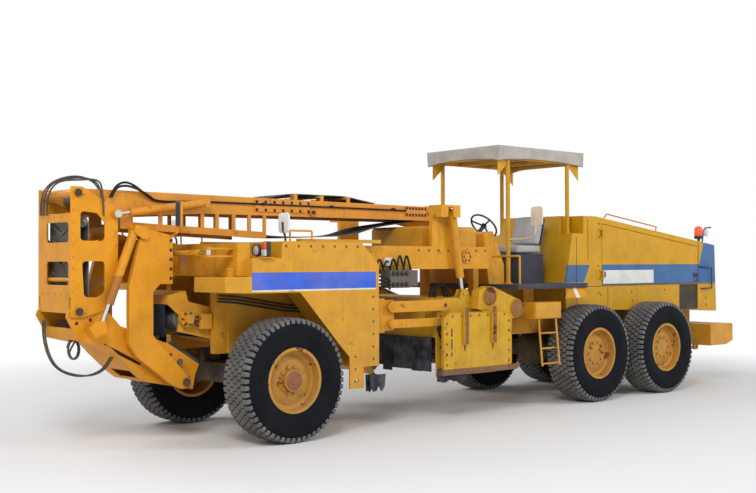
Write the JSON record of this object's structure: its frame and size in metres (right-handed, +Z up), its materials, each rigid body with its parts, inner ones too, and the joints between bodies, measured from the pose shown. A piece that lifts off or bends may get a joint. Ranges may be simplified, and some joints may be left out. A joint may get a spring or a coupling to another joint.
{
  "type": "six-wheeled cold planer milling machine",
  "caption": "Wheeled road milling machine with a covered operator's platform, a cutter drum between its axles and a conveyor folded back over its front.",
  "frame": {"origin": "middle of the machine's outer box, on the ground under its wheels", "axes": "+X forward, towards the folded conveyor; +Y to the operator's left; +Z up"},
  "size_m": [11.115, 2.592, 3.53],
  "materials": {
    "yellow_paint": "semi-gloss enamel, dusty",
    "orange_paint": "semi-gloss enamel, sun-bleached",
    "dark_paint": "satin",
    "rim_paint": "enamel with rust",
    "grey_paint": "satin",
    "worn_steel": "worn, rusty",
    "rod_chrome": "polished",
    "canopy_cloth": "coated cloth, wrinkled and dusty",
    "belt_rubber": "matt",
    "tyre_rubber": "matt, dusty",
    "seat_vinyl": "matt, worn",
    "deck_paint": "tread plate",
    "lamp_parts": "clear and tinted lenses"
  },
  "bodies": {
    "root": {"main_frame": "yellow_paint", "front_body": "yellow_paint", "front_axle": "dark_paint", "rear_axles": "dark_paint", "water_tank": "orange_paint", "primary_conveyor": "yellow_paint", "primary_belt": "belt_rubber", "engine_hood": "yellow_paint", "radiator_grilles": "dark_paint", "engine_block": "grey_paint", "rear_bumper": "yellow_paint", "operator_platform": "deck_paint", "control_console": "dark_paint", "seat_cushions": "seat_vinyl", "canopy_frame": "yellow_paint", "canopy_cover": "canopy_cloth", "ladders": "yellow_paint", "lamps": "lamp_parts", "mirrors": "dark_paint", "valve_banks": "yellow_paint"},
    "steering_left": {"steering_knuckle_left": "dark_paint"},
    "steering_right": {"steering_knuckle_right": "dark_paint"},
    "upper_arms": {"milling_arms_upper": "yellow_paint"},
    "lower_arms": {"milling_arms_lower": "yellow_paint"},
    "milling_unit": {"milling_housing": "yellow_paint"},
    "milling_barrels": {"milling_lift_barrels": "dark_paint"},
    "milling_rods": {"milling_lift_rods": "rod_chrome"},
    "drum": {"cutter_drum": "worn_steel"},
    "plate_left": {"side_plate_left": "yellow_paint"},
    "plate_right": {"side_plate_right": "yellow_paint"},
    "scraper": {"rear_scraper": "yellow_paint"},
    "swing_frame": {"swing_frame": "yellow_paint"},
    "swing_barrel": {"swing_cylinder_barrel": "dark_paint"},
    "swing_rod": {"swing_cylinder_rod": "rod_chrome"},
    "lower_section": {"lower_boom": "yellow_paint", "lower_belt": "belt_rubber"},
    "conveyor_barrels": {"conveyor_lift_barrels": "yellow_paint"},
    "conveyor_rods": {"conveyor_lift_rods": "rod_chrome"},
    "link_section": {"link_frame": "orange_paint", "link_belt": "belt_rubber"},
    "upper_section": {"upper_boom": "orange_paint", "upper_belt": "belt_rubber"},
    "fold_barrels": {"boom_fold_barrels": "yellow_paint"},
    "fold_rods": {"boom_fold_rods": "rod_chrome"},
    "door_left": {"engine_door_left": "yellow_paint"},
    "door_right": {"engine_door_right": "yellow_paint"},
    "wheel_front_left": {"tyre_front_left": "tyre_rubber", "rim_front_left": "rim_paint"},
    "wheel_front_right": {"tyre_front_right": "tyre_rubber", "rim_front_right": "rim_paint"},
    "wheel_middle_left": {"tyre_middle_left": "tyre_rubber", "rim_middle_left": "rim_paint"},
    "wheel_middle_right": {"tyre_middle_right": "tyre_rubber", "rim_middle_right": "rim_paint"},
    "wheel_rear_left": {"tyre_rear_left": "tyre_rubber", "rim_rear_left": "rim_paint"},
    "wheel_rear_right": {"tyre_rear_right": "tyre_rubber", "rim_rear_right": "rim_paint"}
  },
  "joints": [
    {"name": "steer_left", "type": "hinge", "parent": "root", "child": "steering_left", "pos_m": [3.3425, 0.7, 0.674], "axis": [0, 0, 1], "range_deg": [-22, 22]},
    {"name": "steer_right", "type": "hinge", "parent": "root", "child": "steering_right", "pos_m": [3.3425, -0.7, 0.674], "axis": [0, 0, 1], "range_deg": [-22, 22]},
    {"name": "roll_front_left", "type": "hinge", "parent": "steering_left", "child": "wheel_front_left", "pos_m": [3.3425, 1.032, 0.674], "axis": [0, 1, 0], "continuous": true},
    {"name": "roll_front_right", "type": "hinge", "parent": "steering_right", "child": "wheel_front_right", "pos_m": [3.3425, -1.032, 0.674], "axis": [0, 1, 0], "continuous": true},
    {"name": "roll_middle_left", "type": "hinge", "parent": "root", "child": "wheel_middle_left", "pos_m": [-1.9305, 1.032, 0.674], "axis": [0, 1, 0], "continuous": true},
    {"name": "roll_middle_right", "type": "hinge", "parent": "root", "child": "wheel_middle_right", "pos_m": [-1.9305, -1.032, 0.674], "axis": [0, 1, 0], "continuous": true},
    {"name": "roll_rear_left", "type": "hinge", "parent": "root", "child": "wheel_rear_left", "pos_m": [-3.5325, 1.032, 0.674], "axis": [0, 1, 0], "continuous": true},
    {"name": "roll_rear_right", "type": "hinge", "parent": "root", "child": "wheel_rear_right", "pos_m": [-3.5325, -1.032, 0.674], "axis": [0, 1, 0], "continuous": true},
    {"name": "milling_lower", "type": "hinge", "parent": "root", "child": "upper_arms", "pos_m": [1.8425, 0, 1.42], "axis": [0, -1, 0], "range_deg": [0, 45]},
    {"name": "milling_level", "type": "hinge", "parent": "upper_arms", "child": "milling_unit", "pos_m": [0.9925, 0, 1.42], "axis": [0, -1, 0], "range_deg": [-45, 0]},
    {"name": "lower_arm_swing", "type": "hinge", "parent": "root", "child": "lower_arms", "pos_m": [1.8425, 0, 1.22], "axis": [0, -1, 0], "range_deg": [0, 45]},
    {"name": "milling_barrel_tilt", "type": "hinge", "parent": "root", "child": "milling_barrels", "pos_m": [0.7425, 0, 2.56], "axis": [0, -1, 0], "range_deg": [0, 25]},
    {"name": "milling_rod_reach", "type": "slide", "parent": "milling_barrels", "child": "milling_rods", "axis": [-0.1657, 0, -0.9862], "range_m": [0, 0.6]},
    {"name": "drum_spin", "type": "hinge", "parent": "milling_unit", "child": "drum", "pos_m": [0.5425, 0, 0.95], "axis": [0, 1, 0], "continuous": true},
    {"name": "side_plate_left_lift", "type": "slide", "parent": "milling_unit", "child": "plate_left", "axis": [0, 0, 1], "range_m": [-0.15, 0.1]},
    {"name": "side_plate_right_lift", "type": "slide", "parent": "milling_unit", "child": "plate_right", "axis": [0, 0, 1], "range_m": [-0.15, 0.1]},
    {"name": "scraper_open", "type": "hinge", "parent": "milling_unit", "child": "scraper", "pos_m": [-0.0295, 0, 1.25], "axis": [0, 1, 0], "range_deg": [0, 50]},
    {"name": "conveyor_swing", "type": "hinge", "parent": "root", "child": "swing_frame", "pos_m": [4.1425, 0, 1.975], "axis": [0, 0, 1], "range_deg": [-8, 8]},
    {"name": "swing_barrel_turn", "type": "hinge", "parent": "swing_frame", "child": "swing_barrel", "pos_m": [4.2925, 0.2, 2.05], "axis": [0, 0, 1], "range_deg": [-15, 15]},
    {"name": "swing_rod_reach", "type": "slide", "parent": "swing_barrel", "child": "swing_rod", "axis": [0, 1, 0], "range_m": [-0.05, 0.05]},
    {"name": "conveyor_lower", "type": "hinge", "parent": "swing_frame", "child": "lower_section", "pos_m": [4.2475, 0, 0.665], "axis": [0, 1, 0], "range_deg": [0, 16]},
    {"name": "conveyor_barrel_tilt", "type": "hinge", "parent": "swing_frame", "child": "conveyor_barrels", "pos_m": [4.8425, 0, 2.29], "axis": [0, -1, 0], "range_deg": [0, 10]},
    {"name": "conveyor_rod_reach", "type": "slide", "parent": "conveyor_barrels", "child": "conveyor_rods", "axis": [0.3592, 0, -0.9332], "range_m": [0, 0.4]},
    {"name": "link_open", "type": "hinge", "parent": "lower_section", "child": "link_section", "pos_m": [5.4325, 0, 1.453], "axis": [0, 1, 0], "range_deg": [0, 54]},
    {"name": "boom_unfold", "type": "hinge", "parent": "link_section", "child": "upper_section", "pos_m": [5.4455, 0, 2.655], "axis": [0, 1, 0], "range_deg": [0, 96]},
    {"name": "fold_barrel_tilt", "type": "hinge", "parent": "upper_section", "child": "fold_barrels", "pos_m": [3.9825, 0, 2.597], "axis": [0, 1, 0], "range_deg": [0, 15]},
    {"name": "fold_rod_reach", "type": "slide", "parent": "fold_barrels", "child": "fold_rods", "axis": [0.9904, 0, -0.1384], "range_m": [0, 0.75]},
    {"name": "engine_door_left_open", "type": "hinge", "parent": "root", "child": "door_left", "pos_m": [-2.5375, 0.824, 2.06], "axis": [0, 0, -1], "range_deg": [0, 90]},
    {"name": "engine_door_right_open", "type": "hinge", "parent": "root", "child": "door_right", "pos_m": [-2.5375, -0.824, 2.06], "axis": [0, 0, 1], "range_deg": [0, 90]}
  ],
  "couplings": [
    {"joint": "steer_right", "follows": "steer_left", "ratio": 1},
    {"joint": "milling_level", "follows": "milling_lower", "ratio": -1},
    {"joint": "lower_arm_swing", "follows": "milling_lower", "ratio": 1},
    {"joint": "milling_barrel_tilt", "follows": "milling_lower", "ratio": 0.27625},
    {"joint": "milling_rod_reach", "follows": "milling_lower", "m_per_rad": 0.75003},
    {"joint": "swing_barrel_turn", "follows": "conveyor_swing", "ratio": -1.249},
    {"joint": "swing_rod_reach", "follows": "conveyor_swing", "m_per_rad": -0.14906},
    {"joint": "conveyor_barrel_tilt", "follows": "conveyor_lower", "ratio": 0.05437},
    {"joint": "conveyor_rod_reach", "follows": "conveyor_lower", "m_per_rad": 1.1577},
    {"joint": "fold_barrel_tilt", "follows": "boom_unfold", "ratio": 0.02829},
    {"joint": "fold_rod_reach", "follows": "boom_unfold", "m_per_rad": 0.40042}
  ]
}
